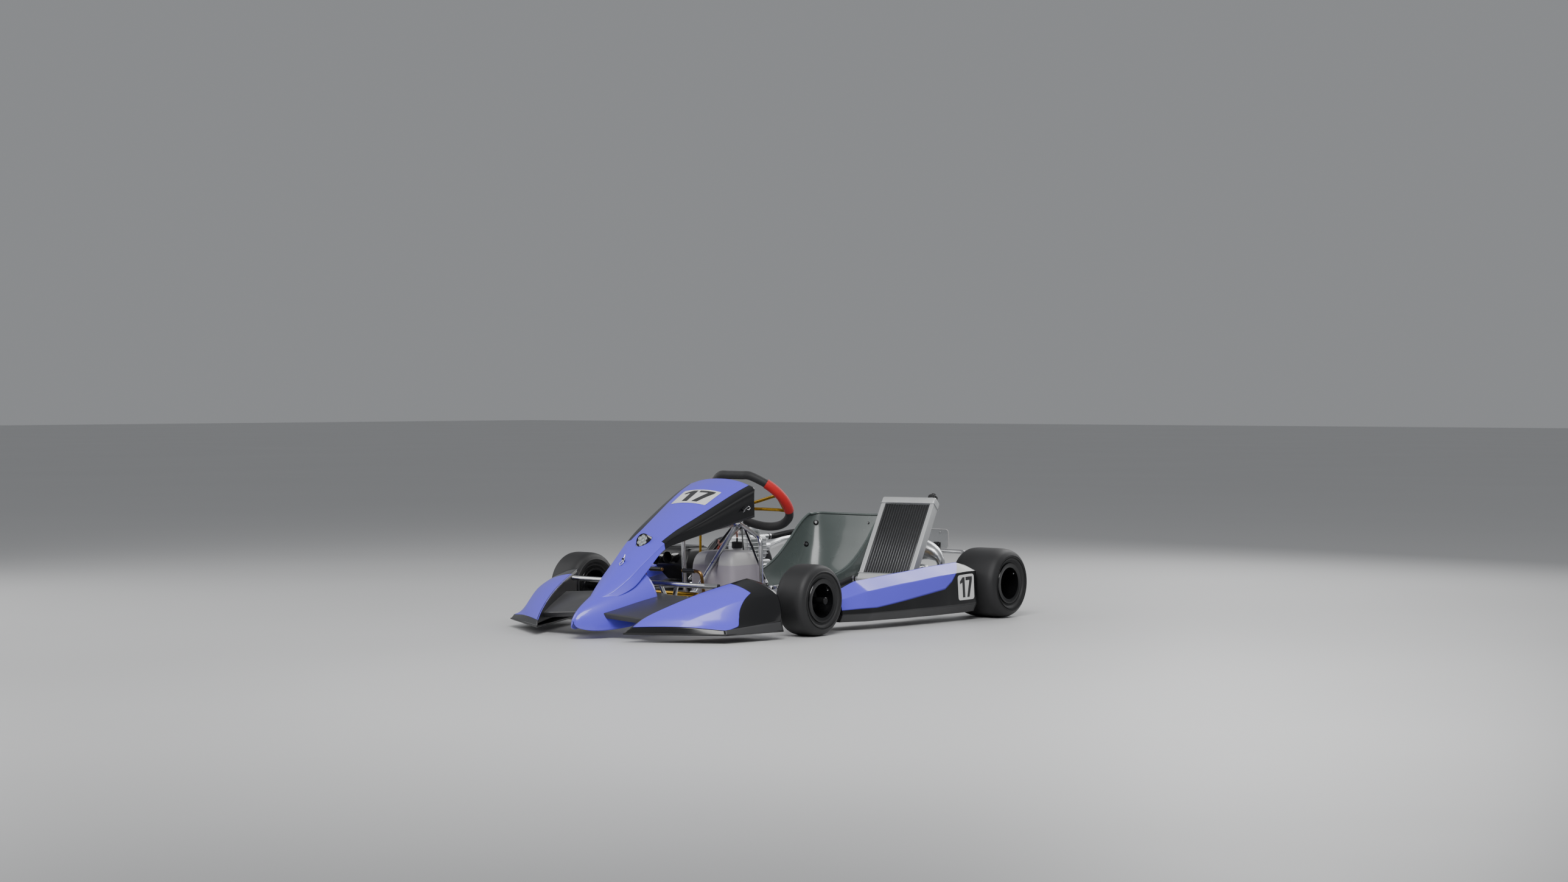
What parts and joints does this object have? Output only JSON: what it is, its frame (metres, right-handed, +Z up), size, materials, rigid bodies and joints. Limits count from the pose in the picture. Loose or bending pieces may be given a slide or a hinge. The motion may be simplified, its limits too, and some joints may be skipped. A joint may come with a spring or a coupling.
{
  "type": "racing kart chassis",
  "caption": "Racing kart: tubular frame, bodywork, bucket seat, engine with chain drive, radiator, working steering, brake, pedals and wheels.",
  "frame": {"origin": "on the ground, below the middle of the kart's bounding box", "axes": "+X to the kart's left, -Y towards the nose, +Z up"},
  "size_m": [1.47, 1.945, 0.5705],
  "materials": {
    "blue_paint": "glossy blue-violet moulded bodywork",
    "black_plastic": "glossy black moulded plastic",
    "chromed_tube": "bright plated steel tube",
    "cast_aluminium": "bare cast or machined aluminium",
    "gold_anodised": "gold anodised",
    "tyre_rubber": "smooth slick tread",
    "black_magnesium": "black coated magnesium",
    "grey_glassfibre": "grey-green glass fibre, smooth",
    "tank_plastic": "milky translucent polyethylene",
    "black_hose": "smooth black rubber",
    "fuel_hose": "copper-pink translucent hose",
    "black_suede": "black suede grip",
    "brake_steel": "machined steel"
  },
  "bodies": {
    "chassis": {"frame": "chromed_tube", "front_bumper": "chromed_tube", "rear_bumper": "chromed_tube", "steering_support": "chromed_tube", "side_bar_left": "chromed_tube", "side_bar_right": "chromed_tube", "seat_stay_left": "chromed_tube", "seat_stay_right": "chromed_tube", "radiator_bracket": "chromed_tube", "floor_tray": "cast_aluminium", "bearing_carrier_left": "cast_aluminium", "bearing_carrier_right": "cast_aluminium", "master_cylinder": "cast_aluminium", "engine_case": "cast_aluminium", "engine_cylinder": "cast_aluminium", "carburettor": "cast_aluminium", "exhaust_pipe": "cast_aluminium", "silencer": "cast_aluminium", "radiator": "cast_aluminium", "front_torsion_bar": "gold_anodised", "brake_caliper": "gold_anodised", "front_fairing": "blue_paint", "front_panel": "blue_paint", "side_pod_left": "blue_paint", "side_pod_right": "blue_paint", "headlight": "black_plastic", "column_stay_left": "black_plastic", "column_stay_right": "black_plastic", "airbox": "black_plastic", "rear_plate": "black_plastic", "seat": "grey_glassfibre", "fuel_tank": "tank_plastic", "chain": "brake_steel", "water_hose_upper": "black_hose", "water_hose_lower": "black_hose", "fuel_line": "fuel_hose"},
    "steering": {"steering_wheel": "black_suede", "steering_spokes": "gold_anodised", "steering_column": "cast_aluminium"},
    "brake_pedal": {"brake_pedal": "gold_anodised"},
    "throttle_pedal": {"throttle_pedal": "gold_anodised"},
    "gear_lever": {"gear_lever": "gold_anodised"},
    "fuel_cap": {"fuel_cap": "black_plastic"},
    "radiator_cap": {"radiator_cap": "black_plastic"},
    "engine_sprocket": {"engine_sprocket": "brake_steel"},
    "rear_axle": {"rear_axle": "brake_steel", "rear_rim_left": "black_magnesium", "rear_rim_right": "black_magnesium", "rear_tyre_left": "tyre_rubber", "rear_tyre_right": "tyre_rubber", "brake_disc": "brake_steel", "axle_sprocket": "cast_aluminium"},
    "spindle_left": {"spindle_left": "brake_steel"},
    "tie_rod_left": {"tie_rod_left": "gold_anodised"},
    "front_wheel_left": {"front_tyre_left": "tyre_rubber", "front_rim_left": "black_magnesium"},
    "spindle_right": {"spindle_right": "brake_steel"},
    "tie_rod_right": {"tie_rod_right": "gold_anodised"},
    "front_wheel_right": {"front_tyre_right": "tyre_rubber", "front_rim_right": "black_magnesium"}
  },
  "joints": [
    {"name": "steering", "type": "hinge", "parent": "chassis", "child": "steering", "pos_m": [0, -0.1045, 0.334], "axis": [0, 0.7071, 0.7071], "range_deg": [-40, 40]},
    {"name": "spindle_left", "type": "hinge", "parent": "chassis", "child": "spindle_left", "pos_m": [0.435, -0.3325, 0.12741], "axis": [-0.172, 0.1371, 0.9755], "range_deg": [-20, 20]},
    {"name": "tie_rod_left", "type": "hinge", "parent": "spindle_left", "child": "tie_rod_left", "pos_m": [0.41678, -0.24752, 0.12195], "axis": [-0.172, 0.1371, 0.9755], "range_deg": [-20, 20]},
    {"name": "front_wheel_left", "type": "hinge", "parent": "spindle_left", "child": "front_wheel_left", "pos_m": [0.55, -0.3325, 0.12741], "axis": [1, 0, 0], "continuous": true},
    {"name": "spindle_right", "type": "hinge", "parent": "chassis", "child": "spindle_right", "pos_m": [-0.435, -0.3325, 0.12741], "axis": [0.172, 0.1371, 0.9755], "range_deg": [-20, 20]},
    {"name": "tie_rod_right", "type": "hinge", "parent": "spindle_right", "child": "tie_rod_right", "pos_m": [-0.41678, -0.24752, 0.12195], "axis": [0.172, 0.1371, 0.9755], "range_deg": [-20, 20]},
    {"name": "front_wheel_right", "type": "hinge", "parent": "spindle_right", "child": "front_wheel_right", "pos_m": [-0.55, -0.3325, 0.12741], "axis": [1, 0, 0], "continuous": true},
    {"name": "rear_axle", "type": "hinge", "parent": "chassis", "child": "rear_axle", "pos_m": [0, 0.6975, 0.13334], "axis": [1, 0, 0], "continuous": true},
    {"name": "engine_sprocket", "type": "hinge", "parent": "chassis", "child": "engine_sprocket", "pos_m": [-0.262, 0.4575, 0.132], "axis": [1, 0, 0], "continuous": true},
    {"name": "brake_pedal", "type": "hinge", "parent": "chassis", "child": "brake_pedal", "pos_m": [0.138, -0.4125, 0.064], "axis": [1, 0, 0], "range_deg": [0, 18], "stiffness_Nm_per_rad": 10, "springref_deg": -11.46},
    {"name": "throttle_pedal", "type": "hinge", "parent": "chassis", "child": "throttle_pedal", "pos_m": [-0.138, -0.4125, 0.064], "axis": [1, 0, 0], "range_deg": [0, 18], "stiffness_Nm_per_rad": 10, "springref_deg": -11.46},
    {"name": "gear_lever", "type": "hinge", "parent": "chassis", "child": "gear_lever", "pos_m": [-0.24, -0.0025, 0.1], "axis": [1, 0, 0], "range_deg": [-8, 8], "stiffness_Nm_per_rad": 8},
    {"name": "fuel_cap", "type": "hinge", "parent": "chassis", "child": "fuel_cap", "pos_m": [0, -0.0705, 0.2784], "axis": [0, 0, 1], "range_deg": [0, 90]},
    {"name": "radiator_cap", "type": "hinge", "parent": "chassis", "child": "radiator_cap", "pos_m": [0.41967, 0.61523, 0.45043], "axis": [-0.1045, 0.5927, 0.7986], "range_deg": [0, 90]}
  ],
  "couplings": [
    {"joint": "spindle_left", "follows": "steering", "ratio": 0.5},
    {"joint": "tie_rod_left", "follows": "steering", "ratio": -0.5},
    {"joint": "spindle_right", "follows": "steering", "ratio": 0.5},
    {"joint": "tie_rod_right", "follows": "steering", "ratio": -0.5},
    {"joint": "engine_sprocket", "follows": "rear_axle", "ratio": 3.4737}
  ]
}
